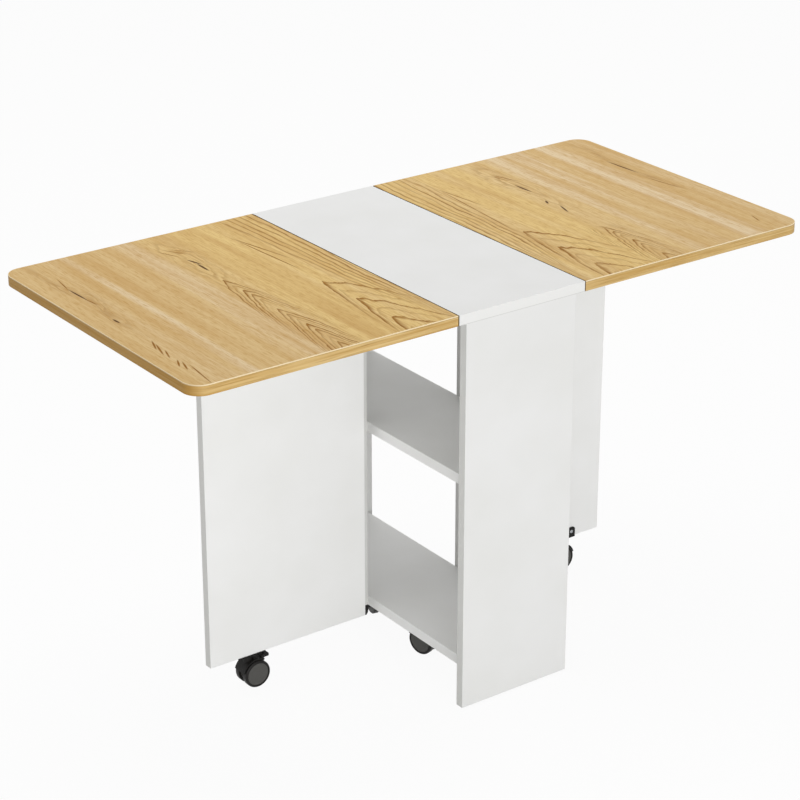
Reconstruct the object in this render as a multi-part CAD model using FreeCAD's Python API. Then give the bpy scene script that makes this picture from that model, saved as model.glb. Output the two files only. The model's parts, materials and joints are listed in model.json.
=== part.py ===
import FreeCAD, Part
import math
import os

# Drop-leaf kitchen table on a narrow shelf cabinet, set up with both leaves raised on their gate legs.
# Millimetres. X runs along the length, Y along the depth and Z up from the floor; the origin lies on the
# floor under the middle of the top. The table has no mirror plane: each left-hand piece has a right-hand
# twin that is the same piece turned half round the Z axis, so the two gates fold away in opposite directions.

V = FreeCAD.Vector
os.makedirs("parts", exist_ok=True)
X_AXIS = V(1, 0, 0)
Y_AXIS = V(0, 1, 0)
Z_AXIS = V(0, 0, 1)
ORIGIN = V(0, 0, 0)
tiny = 1e-6
half_turn = 180.0

# Top: a fixed centre board and two leaves
table_height = 725.0
table_depth = 600.0
centre_width = 258.0
leaf_length = 490.0
top_thickness = 18.0
leaf_gap = 2.0
leaf_corner_radius = 30.0
edge_band = 1.0
arris = 0.6

# Cabinet boards
board = 16.0
shelf_thickness = 18.0
end_panel_width = 226.0
end_overhang = 2.0
floor_gap = 4.0
upper_shelf_top = 425.0
post_width = 44.0
post_face_offset = 0.0

# Fittings that hold the cabinet boards together
dowel_radius = 4.0
dowel_length = 30.0
dowel_in_face = 10.0
dowel_spread = 140.0
cam_radius = 7.5
cam_depth = 11.0
cam_spread = 70.0
cam_setback = 34.0
cam_slot_width = 2.4
cam_slot_depth = 3.0
fitting_clearance = 0.05

# Gate legs; a folded gate stands past the end of the table by its finger grip
gate_grip = 22.0
gate_drop = 12.0
pad_length = 26.0
pad_inset = 1.5
pad_round = 1.5
outer_pad_reach = 280.0
inner_pad_reach = 140.0

# Continuous hinge between a gate and its post
strip_thickness = 0.9
strip_gap = 0.4
strip_width = 14.5
strip_barrel_radius = 3.0
strip_pin_radius = 1.4
strip_knuckles = 9
strip_end_inset = 10.0
barrel_stand_off = 0.4
strip_opening = 90.0

# Flap hinges under the leaf joints
flap_thickness = 1.6
flap_width = 36.0
flap_length = 66.0
flap_barrel_radius = 3.4
flap_pin_radius = 1.6
flap_corner_radius = 5.0
flap_hinge_spread = 390.0
knuckle_gap = 0.3
knuckle_relief = 0.4
pin_clearance = 0.05

# Twin-wheel swivel casters
shelf_caster_height = 68.0
gate_caster_height = 62.0
caster_trail = 10.0
wheel_radius = 25.0
wheel_width = 11.0
wheel_shoulder = 2.5
wheel_inner_chamfer = 1.0
wheel_rim = 4.0
wheel_groove_width = 0.9
wheel_groove_depth = 1.0
wheel_disc_inset = 0.3
wheel_side_gap = 0.8
axle_radius = 3.0
axle_end_inset = 3.0
press_clearance = 0.02
web_thickness = 11.0
web_hub_radius = 13.0
hood_clearance = 1.2
hood_wall = 2.2
hood_overlap = 3.0
hood_front_angle = 165.0
hood_rear_angle = 40.0
boss_radius = 8.5
boss_round = 1.0
kingpin_radius = 3.5
kingpin_reach = 21.0
swivel_gap = 0.3
plate_thickness = 2.5
race_radius = 8.5
race_height = 1.2
shelf_plate_side = 46.0
shelf_plate_corner = 6.0
shelf_caster_x = 42.5
shelf_caster_y = 87.0
shelf_caster_heading = 76.0

# Side bracket and brake pedal of the gate casters; the pedal hangs on the rear end of the hood's web
gate_caster_reach = 246.0
bracket_length = 46.0
bracket_rise = 19.0
bracket_lip = 1.0
bracket_corner = 5.0
bracket_bend = 2.0
pedal_angle = 57.5
pedal_neck_angle = 7.5
pedal_arch_angle = 66.0
pedal_rise = 2.4
pedal_lug_radius = 3.5
pedal_trunnion_radius = 2.0
pedal_cheek = 2.5
pedal_side_gap = 0.3
pedal_foot_gap = 0.5
pedal_foot_length = 7.5
pedal_foot_rise = 4.0
pedal_foot_drop = 2.0
pedal_foot_round = 1.5

# Levels
underside = table_height - top_thickness
lower_shelf_bottom = shelf_caster_height
lower_shelf_top = lower_shelf_bottom + shelf_thickness
upper_shelf_bottom = upper_shelf_top - shelf_thickness
gate_bottom = gate_caster_height
gate_top = underside - gate_drop

# Half sizes, measured from the middle of the table
half_depth = table_depth / 2
half_centre = centre_width / 2
leaf_start = half_centre + leaf_gap
leaf_end = leaf_start + leaf_length
half_panel = end_panel_width / 2
half_shelf = half_panel - board
panel_outer = half_depth - end_overhang
panel_inner = panel_outer - board

# Pivot line of the left gate, at the outer corner of its post; the gate stands square to the post and folds
# back against it, which closes the two hinge strips on each other
gate_pivot_x = -(half_panel + strip_thickness + strip_gap / 2)
gate_pivot_y = post_face_offset - strip_barrel_radius - barrel_stand_off
gate_hinge_face = gate_pivot_x - strip_barrel_radius - barrel_stand_off
gate_back = gate_pivot_y - strip_thickness - strip_gap / 2
gate_front = gate_back - board
gate_mid = gate_back - board / 2
gate_reach = half_depth - gate_pivot_y + gate_grip
gate_outer = gate_pivot_x - gate_reach
gate_caster_x = gate_pivot_x - gate_caster_reach

# Pivot line of the left leaf, on the joint line just under the boards
leaf_pivot_x = -(half_centre + leaf_gap / 2)
leaf_pivot_z = underside - flap_barrel_radius


def box(x0, x1, y0, y1, z0, z1):
    """Solid block between two opposite corners."""
    return Part.makeBox(x1 - x0, y1 - y0, z1 - z0, V(x0, y0, z0))


def rod(radius, start, end):
    """Round bar from one point to another."""
    way = end - start
    return Part.makeCylinder(radius, way.Length, start, way)


def fuse(first, *others):
    """One solid from touching pieces, without the seams between coplanar faces."""
    return first.multiFuse(list(others)).removeSplitter()


def turned(shape, degrees=half_turn):
    """Copy of a shape turned about the table's upright axis."""
    copy = shape.copy()
    copy.rotate(ORIGIN, Z_AXIS, degrees)
    return copy


def placed(shape, x, y, degrees=0.0):
    """Copy of a caster piece, turned about its kingpin and set down at x, y."""
    copy = turned(shape, degrees)
    copy.translate(V(x, y, 0))
    return copy


def edges_along(shape, axis, keep):
    """Straight edges that run along an axis and whose middle passes a test."""
    found = []
    for edge in shape.Edges:
        if edge.Curve.TypeId != "Part::GeomLine":
            continue
        way = edge.Vertexes[1].Point - edge.Vertexes[0].Point
        if way.Length - abs(way.dot(axis)) < tiny and keep(edge.CenterOfMass):
            found.append(edge)
    return found


def save(node, *solids):
    """Write one node: a single solid, or a group of separate ones."""
    shape = solids[0] if len(solids) == 1 else Part.makeCompound(list(solids))
    if not shape.isValid():
        raise ValueError(node + " is not a valid solid")
    shape.exportStep("parts/" + node + ".step")


def save_pair(node, *solids):
    """Write a left-hand node and its right-hand twin."""
    save("left_" + node, *solids)
    save("right_" + node, *[turned(solid) for solid in solids])


# Bores and dowels of one board end, shared by every joint between two cabinet boards
def dowels_at(points, way):
    """Dowels that enter a board face by their face depth, with their bores."""
    pins = []
    bores = []
    for point in points:
        tip = point + way * dowel_in_face
        tail = point - way * (dowel_length - dowel_in_face)
        pins.append(rod(dowel_radius, tail + way * fitting_clearance, tip - way * fitting_clearance))
        bores.append(rod(dowel_radius + fitting_clearance, tail, tip))
    return pins, bores


def cam_lock(x, y, z):
    """Cam disc flush in the underside of a shelf, with its cross slot and its pocket."""
    disc = rod(cam_radius, V(x, y, z), V(x, y, z + cam_depth))
    half_slot = cam_slot_width / 2
    arm = cam_radius - fitting_clearance - cam_slot_width
    slot = box(x - arm, x + arm, y - half_slot, y + half_slot, z, z + cam_slot_depth)
    cross = box(x - half_slot, x + half_slot, y - arm, y + arm, z, z + cam_slot_depth)
    pocket = rod(cam_radius + fitting_clearance, V(x, y, z), V(x, y, z + cam_depth + fitting_clearance))
    return disc.cut(slot.fuse(cross)), pocket


# Cabinet boards, before their bores
centre_top = box(-half_centre, half_centre, -half_depth, half_depth, underside, table_height)
front_panel = box(-half_panel, half_panel, -panel_outer, -panel_inner, floor_gap, underside)
upper_shelf = box(-half_shelf, half_shelf, -panel_inner, panel_inner, upper_shelf_bottom, upper_shelf_top)
lower_shelf = box(-half_shelf, half_shelf, -panel_inner, panel_inner, lower_shelf_bottom, lower_shelf_top)
post = box(-half_panel, -half_shelf, post_face_offset, post_face_offset + post_width, lower_shelf_bottom,
           underside)

# The arrises that hands meet are eased
top_arrises = edges_along(centre_top, X_AXIS, lambda p: p.z > underside + arris)
centre_top = centre_top.makeFillet(arris, top_arrises)
front_arrises = edges_along(front_panel, Z_AXIS, lambda p: p.y < -panel_inner - arris)
front_panel = front_panel.makeFillet(arris, front_arrises)

# Dowels and cam locks at both ends of both shelves, dowels at the top of both end panels
dowels = []
cams = []
for end in (-1, 1):
    for side in (-1, 1):
        x = side * dowel_spread / 2
        shelf_points = []
        for shelf_top in (upper_shelf_top, lower_shelf_top):
            shelf_points.append(V(x, end * panel_inner, shelf_top - shelf_thickness / 2))
        pins, bores = dowels_at(shelf_points, Y_AXIS * end)
        dowels += pins
        upper_shelf = upper_shelf.cut(bores[0])
        lower_shelf = lower_shelf.cut(bores[1])
        top_pins, top_bores = dowels_at([V(x, end * (panel_inner + board / 2), underside)], Z_AXIS)
        dowels += top_pins
        centre_top = centre_top.cut(top_bores[0])
        if end < 0:
            for bore in bores + top_bores:
                front_panel = front_panel.cut(bore)
        cam_x = side * cam_spread / 2
        cam_y = end * (panel_inner - cam_setback)
        disc, pocket = cam_lock(cam_x, cam_y, upper_shelf_bottom)
        cams.append(disc)
        upper_shelf = upper_shelf.cut(pocket)
        disc, pocket = cam_lock(cam_x, cam_y, lower_shelf_bottom)
        cams.append(disc)
        lower_shelf = lower_shelf.cut(pocket)

save("centre_top", centre_top)
save("front_end_panel", front_panel)
save("rear_end_panel", turned(front_panel))
save("upper_shelf", upper_shelf)
save("lower_shelf", lower_shelf)
save("cabinet_dowels", *dowels)
save("shelf_cam_locks", *cams)
save_pair("hinge_post", post)


def leaf_outline(inset):
    """Plan face of the left leaf, with its outer corners rounded and its three free sides drawn in."""
    radius = leaf_corner_radius - inset
    outer = -leaf_end + inset
    side = half_depth - inset
    bend = radius * (1 - math.sqrt(0.5))
    joint_front = V(-leaf_start, -side, underside)
    front = V(outer + radius, -side, underside)
    front_mid = V(outer + bend, -side + bend, underside)
    end_front = V(outer, -side + radius, underside)
    end_back = V(outer, side - radius, underside)
    back_mid = V(outer + bend, side - bend, underside)
    back = V(outer + radius, side, underside)
    joint_back = V(-leaf_start, side, underside)
    edges = [
        Part.makeLine(joint_front, front),
        Part.Arc(front, front_mid, end_front).toShape(),
        Part.makeLine(end_front, end_back),
        Part.Arc(end_back, back_mid, back).toShape(),
        Part.makeLine(back, joint_back),
        Part.makeLine(joint_back, joint_front),
    ]
    return Part.Face(Part.Wire(edges))


# Leaf: a core board wrapped on its three free sides by a glued edge band with eased arrises
leaf_core = leaf_outline(edge_band).extrude(Z_AXIS * top_thickness)
leaf_block = leaf_outline(0.0).extrude(Z_AXIS * top_thickness)
rim_edges = []
for edge in leaf_block.Edges:
    middle = edge.CenterOfMass
    is_level = abs(edge.Vertexes[0].Point.z - edge.Vertexes[-1].Point.z) < tiny
    if is_level and middle.x < -leaf_start - arris:
        rim_edges.append(edge)
leaf_block = leaf_block.makeFillet(arris, rim_edges)
save_pair("leaf", leaf_core)
save_pair("leaf_edge_band", leaf_block.cut(leaf_core))


# Flap hinges: the knuckles of both flaps share one pin under the joint line
def leaf_flap(side, knuckles, y):
    """One flap of a leaf hinge, +1 on the centre board and -1 on the leaf, with its share of the knuckles."""
    pitch = flap_length / 3
    low = y - flap_length / 2
    inner = flap_barrel_radius + knuckle_relief
    near = leaf_pivot_x + side * inner
    far = leaf_pivot_x + side * flap_width
    plate = box(min(near, far), max(near, far), low, low + flap_length, underside - flap_thickness, underside)
    plate = plate.makeFillet(flap_corner_radius, edges_along(plate, Z_AXIS, lambda p: abs(p.x - far) < tiny))
    pieces = []
    for index in knuckles:
        start = low + index * pitch + knuckle_gap / 2
        stop = start + pitch - knuckle_gap
        pieces.append(rod(flap_barrel_radius, V(leaf_pivot_x, start, leaf_pivot_z),
                          V(leaf_pivot_x, stop, leaf_pivot_z)))
        neck = (min(leaf_pivot_x, near), max(leaf_pivot_x, near))
        pieces.append(box(neck[0], neck[1], start, stop, underside - flap_thickness, underside))
    bore = rod(flap_pin_radius + pin_clearance, V(leaf_pivot_x, low, leaf_pivot_z),
               V(leaf_pivot_x, low + flap_length, leaf_pivot_z))
    return fuse(plate, *pieces).cut(bore)


fixed_flaps = []
moving_flaps = []
leaf_pins = []
for end in (-1, 1):
    hinge_y = end * flap_hinge_spread / 2
    fixed_flaps.append(leaf_flap(1, (0, 2), hinge_y))
    moving_flaps.append(leaf_flap(-1, (1,), hinge_y))
    leaf_pins.append(rod(flap_pin_radius, V(leaf_pivot_x, hinge_y - flap_length / 2, leaf_pivot_z),
                         V(leaf_pivot_x, hinge_y + flap_length / 2, leaf_pivot_z)))
save_pair("leaf_hinge_fixed_flaps", *fixed_flaps)
save_pair("leaf_hinge_moving_flaps", *moving_flaps)
save_pair("leaf_hinge_pins", *leaf_pins)

# Gate leg: one upright board that swings on its post and carries the leaf on two pads
gate = box(gate_outer, gate_hinge_face, gate_front, gate_back, gate_bottom, gate_top)
gate = gate.makeFillet(arris, edges_along(gate, Z_AXIS, lambda p: p.x < gate_hinge_face - board))
pads = []
for reach in (inner_pad_reach, outer_pad_reach):
    middle = gate_pivot_x - reach
    pad = box(middle - pad_length / 2, middle + pad_length / 2, gate_front + pad_inset,
              gate_back - pad_inset, gate_top, underside)
    rims = edges_along(pad, X_AXIS, lambda p: p.z > gate_top + pad_round)
    rims += edges_along(pad, Y_AXIS, lambda p: p.z > gate_top + pad_round)
    pads.append(pad.makeFillet(pad_round, rims))
save_pair("gate_panel", gate)
save_pair("gate_rest_pads", *pads)

# Continuous hinge: one strip on the post's outer side and one on the gate's back, with alternating
# knuckles in the corner between them
strip_low = gate_bottom + strip_end_inset
strip_high = gate_top - strip_end_inset
strip_pitch = (strip_high - strip_low) / strip_knuckles


def hinge_strip(side, first):
    """One strip of the closed gate hinge, +1 on the post and -1 on the gate, with every second knuckle."""
    face = gate_pivot_x + side * strip_gap / 2
    back = face + side * strip_thickness
    near = gate_pivot_y + strip_barrel_radius + knuckle_relief
    far = post_face_offset + strip_width
    low_x = min(face, back)
    high_x = max(face, back)
    pieces = []
    for index in range(first, strip_knuckles, 2):
        start = strip_low + index * strip_pitch + knuckle_gap / 2
        stop = start + strip_pitch - knuckle_gap
        pieces.append(rod(strip_barrel_radius, V(gate_pivot_x, gate_pivot_y, start),
                          V(gate_pivot_x, gate_pivot_y, stop)))
        pieces.append(box(low_x, high_x, gate_pivot_y, near, start, stop))
    strip = fuse(box(low_x, high_x, near, far, strip_low, strip_high), *pieces)
    bore = rod(strip_pin_radius + pin_clearance, V(gate_pivot_x, gate_pivot_y, strip_low),
               V(gate_pivot_x, gate_pivot_y, strip_high))
    return strip.cut(bore)


save_pair("gate_hinge_post_strip", hinge_strip(1, 0))
gate_strip = hinge_strip(-1, 1)
gate_strip.rotate(V(gate_pivot_x, gate_pivot_y, 0), Z_AXIS, strip_opening)
save_pair("gate_hinge_gate_strip", gate_strip)
save_pair("gate_hinge_pin", rod(strip_pin_radius, V(gate_pivot_x, gate_pivot_y, strip_low),
                                V(gate_pivot_x, gate_pivot_y, strip_high)))

# Caster pieces are drawn round their own kingpin, at x = y = 0, with the wheels trailing along +X
axle_centre = V(caster_trail, 0, wheel_radius)
half_web = web_thickness / 2
wheel_inner = half_web + wheel_side_gap
wheel_outer = wheel_inner + wheel_width
arch_inner = wheel_radius + hood_clearance
arch_outer = arch_inner + hood_wall
axle_half = wheel_outer - axle_end_inset


def polar(radius, degrees, y):
    """Point round the axle, at an angle counted upwards from straight behind."""
    angle = math.radians(degrees)
    return V(caster_trail + radius * math.cos(angle), y, wheel_radius + radius * math.sin(angle))


def ring_slice(inner, outer, start, stop, half_width):
    """Part of a ring round the axle, between two angles."""
    middle = (start + stop) / 2
    y = -half_width
    edges = [
        Part.Arc(polar(outer, start, y), polar(outer, middle, y), polar(outer, stop, y)).toShape(),
        Part.makeLine(polar(outer, stop, y), polar(inner, stop, y)),
        Part.Arc(polar(inner, stop, y), polar(inner, middle, y), polar(inner, start, y)).toShape(),
        Part.makeLine(polar(inner, start, y), polar(outer, start, y)),
    ]
    return Part.Face(Part.Wire(edges)).extrude(Y_AXIS * 2 * half_width)


def caster_hood(height, braked):
    """Moulded hood: a web between the wheels, an arch over them and a boss that turns on the kingpin."""
    arch_rear = pedal_arch_angle if braked else hood_rear_angle
    plate_bottom = height - plate_thickness
    boss_top = plate_bottom - race_height - swivel_gap
    web = ring_slice(web_hub_radius - hood_wall, arch_outer, hood_rear_angle, hood_front_angle, half_web)
    hub = rod(web_hub_radius, axle_centre - Y_AXIS * half_web, axle_centre + Y_AXIS * half_web)
    arch = ring_slice(arch_inner, arch_outer, arch_rear, hood_front_angle, wheel_outer - hood_overlap)
    boss = rod(boss_radius, V(0, 0, wheel_radius), V(0, 0, boss_top))
    boss_rim = [edge for edge in boss.Edges if edge.CenterOfMass.z > boss_top - boss_round]
    boss = boss.makeFillet(boss_round, boss_rim)
    for side in (-1, 1):
        boss = boss.cut(rod(arch_inner, axle_centre + Y_AXIS * side * half_web,
                            axle_centre + Y_AXIS * side * (half_web + boss_radius)))
    pieces = [hub, arch, boss]
    if braked:
        reach = half_web + pedal_side_gap + pedal_cheek
        neck_end = pedal_angle + pedal_neck_angle
        pieces.append(rod(pedal_lug_radius, pedal_pivot - Y_AXIS * half_web, pedal_pivot + Y_AXIS * half_web))
        pieces.append(ring_slice(arch_inner, arch_outer + pedal_rise, pedal_angle, neck_end, half_web))
        pieces.append(rod(pedal_trunnion_radius, pedal_pivot - Y_AXIS * reach, pedal_pivot + Y_AXIS * reach))
    hood = fuse(web, *pieces)
    hood = hood.cut(rod(axle_radius + pin_clearance, axle_centre - Y_AXIS * wheel_outer,
                        axle_centre + Y_AXIS * wheel_outer))
    socket_bottom = plate_bottom - kingpin_reach - plate_thickness
    return hood.cut(rod(kingpin_radius + pin_clearance, V(0, 0, socket_bottom), V(0, 0, boss_top)))


def caster_wheel(side):
    """Wheel turned from one profile: rounded tread, rim, groove and a closed disc over the axle's end."""
    bore = axle_radius + press_clearance
    bore_end = axle_half + fitting_clearance
    rim = wheel_radius - wheel_rim
    disc = rim - wheel_groove_width
    disc_face = wheel_outer - wheel_disc_inset
    groove_floor = wheel_outer - wheel_groove_depth
    shoulder = wheel_shoulder * (1 - math.sqrt(0.5))

    def at(across, radius):
        return V(caster_trail, side * across, wheel_radius + radius)

    corners = [
        at(wheel_outer, wheel_radius - wheel_shoulder),
        at(wheel_outer, rim),
        at(groove_floor, rim),
        at(groove_floor, disc),
        at(disc_face, disc),
        at(disc_face, 0),
        at(bore_end, 0),
        at(bore_end, bore),
        at(wheel_inner, bore),
        at(wheel_inner, wheel_radius - wheel_inner_chamfer),
        at(wheel_inner + wheel_inner_chamfer, wheel_radius),
        at(wheel_outer - wheel_shoulder, wheel_radius),
    ]
    edges = [Part.makeLine(start, stop) for start, stop in zip(corners, corners[1:])]
    shoulder_mid = at(wheel_outer - shoulder, wheel_radius - shoulder)
    edges.append(Part.Arc(corners[-1], shoulder_mid, corners[0]).toShape())
    return Part.Face(Part.Wire(edges)).revolve(axle_centre, Y_AXIS, 360)


def caster_pedal():
    """Brake pedal: two cheeks on the hood's trunnions and a foot behind them, clear of the lug."""
    inner = half_web + pedal_side_gap
    outer = inner + pedal_cheek
    foot_start = pedal_pivot.x + pedal_lug_radius + pedal_foot_gap
    tip = foot_start + pedal_foot_length
    low = pedal_pivot.z - pedal_foot_drop
    high = pedal_pivot.z + pedal_foot_rise
    pieces = []
    for side in (-1, 1):
        start = pedal_pivot + Y_AXIS * side * inner
        stop = pedal_pivot + Y_AXIS * side * outer
        pieces.append(rod(pedal_lug_radius, start, stop))
        pieces.append(box(pedal_pivot.x, foot_start, min(start.y, stop.y), max(start.y, stop.y), low,
                          pedal_pivot.z + pedal_lug_radius))
    pedal = fuse(box(foot_start, tip, -outer, outer, low, high), *pieces)
    for side in (-1, 1):
        pedal = pedal.cut(rod(pedal_trunnion_radius + pin_clearance, pedal_pivot,
                              pedal_pivot + Y_AXIS * side * (outer + pedal_cheek)))
    return pedal.makeFillet(pedal_foot_round, edges_along(pedal, Y_AXIS, lambda p: p.x > tip - tiny))


def race(height):
    """Raised ring under a caster's plate, which the hood's boss turns under."""
    plate_bottom = height - plate_thickness
    return rod(race_radius, V(0, 0, plate_bottom - race_height), V(0, 0, plate_bottom))


def kingpin(height):
    """Pin from the top of a caster's plate down into its hood, with the hole it is pressed into."""
    plate_bottom = height - plate_thickness
    pin = rod(kingpin_radius, V(0, 0, plate_bottom - kingpin_reach), V(0, 0, height))
    hole = rod(kingpin_radius + press_clearance, V(0, 0, plate_bottom - race_height), V(0, 0, height))
    return pin, hole


pedal_pivot = polar(arch_outer + pedal_rise, pedal_angle, 0)
axle = rod(axle_radius, axle_centre - Y_AXIS * axle_half, axle_centre + Y_AXIS * axle_half)
wheels = [caster_wheel(-1), caster_wheel(1)]
shelf_hood = caster_hood(shelf_caster_height, False)
gate_hood = caster_hood(gate_caster_height, True)
shelf_kingpin, shelf_hole = kingpin(shelf_caster_height)
gate_kingpin, gate_hole = kingpin(gate_caster_height)
pedal = caster_pedal()

# Square plate that screws up under the lower shelf
half_plate = shelf_plate_side / 2
shelf_plate = box(-half_plate, half_plate, -half_plate, half_plate, shelf_caster_height - plate_thickness,
                  shelf_caster_height)
shelf_plate = shelf_plate.makeFillet(shelf_plate_corner, edges_along(shelf_plate, Z_AXIS, lambda p: True))
shelf_plate = fuse(shelf_plate, race(shelf_caster_height)).cut(shelf_hole)

# Angle bracket on a gate: the foot lies under the board and the upright is screwed to its back
half_bracket = bracket_length / 2
half_board = board / 2
upright_face = half_board + plate_thickness
foot_bottom = gate_caster_height - plate_thickness
foot = box(-half_bracket, half_bracket, -half_board - bracket_lip, upright_face, foot_bottom,
           gate_caster_height)
bracket_top = gate_caster_height + bracket_rise
upright = box(-half_bracket, half_bracket, half_board, upright_face, foot_bottom, bracket_top)
bracket = fuse(foot, upright)
bend = edges_along(bracket, X_AXIS, lambda p: p.y > upright_face - tiny and p.z < foot_bottom + tiny)
bracket = bracket.makeFillet(bracket_bend, bend)
corners = edges_along(bracket, Y_AXIS, lambda p: p.z > bracket_top - tiny)
bracket = bracket.makeFillet(bracket_corner, corners)
bracket = fuse(bracket, race(gate_caster_height)).cut(gate_hole)

# Gate casters, with the wheels trailing towards the cabinet
save_pair("gate_caster_bracket", placed(bracket, gate_caster_x, gate_mid))
save_pair("gate_caster_kingpin", placed(gate_kingpin, gate_caster_x, gate_mid))
save_pair("gate_caster_hood", placed(gate_hood, gate_caster_x, gate_mid))
save_pair("gate_caster_wheels", *[placed(wheel, gate_caster_x, gate_mid) for wheel in wheels])
save_pair("gate_caster_axle", placed(axle, gate_caster_x, gate_mid))
save_pair("gate_caster_pedal", placed(pedal, gate_caster_x, gate_mid))

# Shelf casters, one towards each corner of the lower shelf, each turned its own way
plates = []
kingpins = []
for end, end_name in ((-1, "front"), (1, "rear")):
    for side, side_name in ((-1, "left"), (1, "right")):
        x = side * shelf_caster_x
        y = end * shelf_caster_y
        heading = -side * end * shelf_caster_heading
        if end > 0:
            heading += half_turn
        name = end_name + "_" + side_name + "_caster_"
        plates.append(placed(shelf_plate, x, y))
        kingpins.append(placed(shelf_kingpin, x, y))
        save(name + "hood", placed(shelf_hood, x, y, heading))
        save(name + "wheels", *[placed(wheel, x, y, heading) for wheel in wheels])
        save(name + "axle", placed(axle, x, y, heading))
save("shelf_caster_plates", *plates)
save("shelf_caster_kingpins", *kingpins)
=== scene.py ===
# %% [markdown]
# # A drop-leaf kitchen table, dressed for its portrait
#
# The table is a narrow white cabinet on casters. Two wood-grain leaves are hinged to its top, and each
# leaf lies on a gate leg, an upright white board that swings out of the cabinet's side. The solids come
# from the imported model. This lesson gives them finishes, adds the small hardware, and sets up the light
# and the camera.

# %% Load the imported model
import json
import math

import bmesh
import bpy
from mathutils import Matrix, Vector


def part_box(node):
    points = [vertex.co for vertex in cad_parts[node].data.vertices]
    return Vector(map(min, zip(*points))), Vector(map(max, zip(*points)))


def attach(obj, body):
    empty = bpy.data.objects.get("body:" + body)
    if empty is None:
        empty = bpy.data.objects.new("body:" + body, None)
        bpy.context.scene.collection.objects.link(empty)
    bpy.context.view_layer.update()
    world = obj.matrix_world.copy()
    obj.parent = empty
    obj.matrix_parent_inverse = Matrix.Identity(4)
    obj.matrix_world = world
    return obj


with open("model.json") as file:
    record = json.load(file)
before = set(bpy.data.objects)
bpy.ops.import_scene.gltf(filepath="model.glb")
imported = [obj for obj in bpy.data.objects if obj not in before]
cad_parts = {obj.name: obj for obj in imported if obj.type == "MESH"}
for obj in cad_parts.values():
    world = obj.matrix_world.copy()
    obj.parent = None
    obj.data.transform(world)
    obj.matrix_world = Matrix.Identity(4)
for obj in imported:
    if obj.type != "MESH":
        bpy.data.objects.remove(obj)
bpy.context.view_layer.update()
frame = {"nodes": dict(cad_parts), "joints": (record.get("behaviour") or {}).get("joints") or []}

MM = 0.001
nodes = frame["nodes"]

# %% [markdown]
# ## Colour and node helpers
#
# Colours are read off a screen as sRGB hex values, but shaders work in linear light, so one function
# converts them. Another small function adds a shader node: it sets the node's options, then fills each
# socket with a plain value or with a wire from an earlier node. Three kinds of node are used so often
# that they get a short name.

# %% Colour and node helpers
MATH = "ShaderNodeMath"
RANGE = "ShaderNodeMapRange"
MIX = "ShaderNodeMix"


def linear(hex_colour):
    """Linear RGBA from an sRGB hex value such as #E8E8E6."""
    channels = [int(hex_colour[i:i + 2], 16) / 255 for i in (1, 3, 5)]
    return tuple(c / 12.92 if c <= 0.04045 else ((c + 0.055) / 1.055) ** 2.4 for c in channels) + (1.0,)


def add(tree, kind, wires=None, **settings):
    """One shader node with its options set and its sockets filled by values or by other nodes."""
    made = tree.nodes.new(kind)
    for name, value in settings.items():
        setattr(made, name, value)
    for key, value in (wires or {}).items():
        if isinstance(key, int):
            socket = made.inputs[key]
        else:
            socket = next(s for s in made.inputs if s.name == key and s.enabled)
        if isinstance(value, bpy.types.Node):
            value = next(s for s in value.outputs if s.enabled)
        if isinstance(value, bpy.types.NodeSocket):
            tree.links.new(value, socket)
        else:
            socket.default_value = value
    return made


def new_material(name):
    """An empty material and its node tree."""
    material = bpy.data.materials.new(name)
    material.use_nodes = True
    material.node_tree.nodes.clear()
    return material, material.node_tree


print("white board, as linear:", [round(c, 3) for c in linear("#E8E8E6")])

# %% [markdown]
# ## The camera
#
# The view is the one that a catalogue uses: from the left and a little above, with a long lens that
# keeps the uprights nearly parallel. Place, heading and focal length are real sizes, worked out from
# where the table's corners fall in an image of 800 by 800 pixels.

# %% Camera
IMAGE_SIDE = 800
SENSOR = 36.0
camera_place = Vector((-2323.5, -3154.6, 2156.9)) * MM
camera_heading = math.radians(36.06)
camera_dip = math.radians(23.66)
focal_pixels = 2456.5

scene = bpy.context.scene
camera_data = bpy.data.cameras.new("portrait_camera")
camera_data.sensor_width = SENSOR
camera_data.lens = SENSOR * focal_pixels / IMAGE_SIDE
camera = bpy.data.objects.new("portrait_camera", camera_data)
camera.location = camera_place
camera.rotation_euler = (math.pi / 2 - camera_dip, 0.0, -camera_heading)
scene.collection.objects.link(camera)
scene.camera = camera
print("camera lens", round(camera_data.lens, 1), "mm")

# %% [markdown]
# ## Floor and sky
#
# A product shot on white needs no visible lamp. The world gives an even sky. The floor is pale, keeps a
# soft shadow, and is lifted to white only where the camera, or a mirror-like surface, looks straight at
# it. More light would whiten the floor too, but it would bleach the table.

# %% Floor and world
FLOOR_SIDE = 30.0
FLOOR_LIFT = 0.94
SKY_STRENGTH = 0.51
PURE_WHITE = (1.0, 1.0, 1.0, 1.0)
floor_paper = linear("#EBEBEA")
scene.view_settings.view_transform = "Standard"


def looked_at(tree):
    """1 where the camera, a mirror or glass looks straight at the surface; elsewhere 0."""
    ray = add(tree, "ShaderNodeLightPath").outputs
    seen = add(tree, MATH, {0: ray["Is Camera Ray"], 1: ray["Is Glossy Ray"]}, operation="MAXIMUM")
    return add(tree, MATH, {0: seen, 1: ray["Is Transmission Ray"]}, operation="MAXIMUM")


world = bpy.data.worlds.new("studio_sky")
scene.world = world
world.use_nodes = True
sky = world.node_tree
sky.nodes.clear()
glow = add(sky, RANGE, {"Value": looked_at(sky), "To Min": SKY_STRENGTH, "To Max": 1.0})
backdrop = add(sky, "ShaderNodeBackground", {"Color": PURE_WHITE, "Strength": glow})
add(sky, "ShaderNodeOutputWorld", {"Surface": backdrop})

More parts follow.
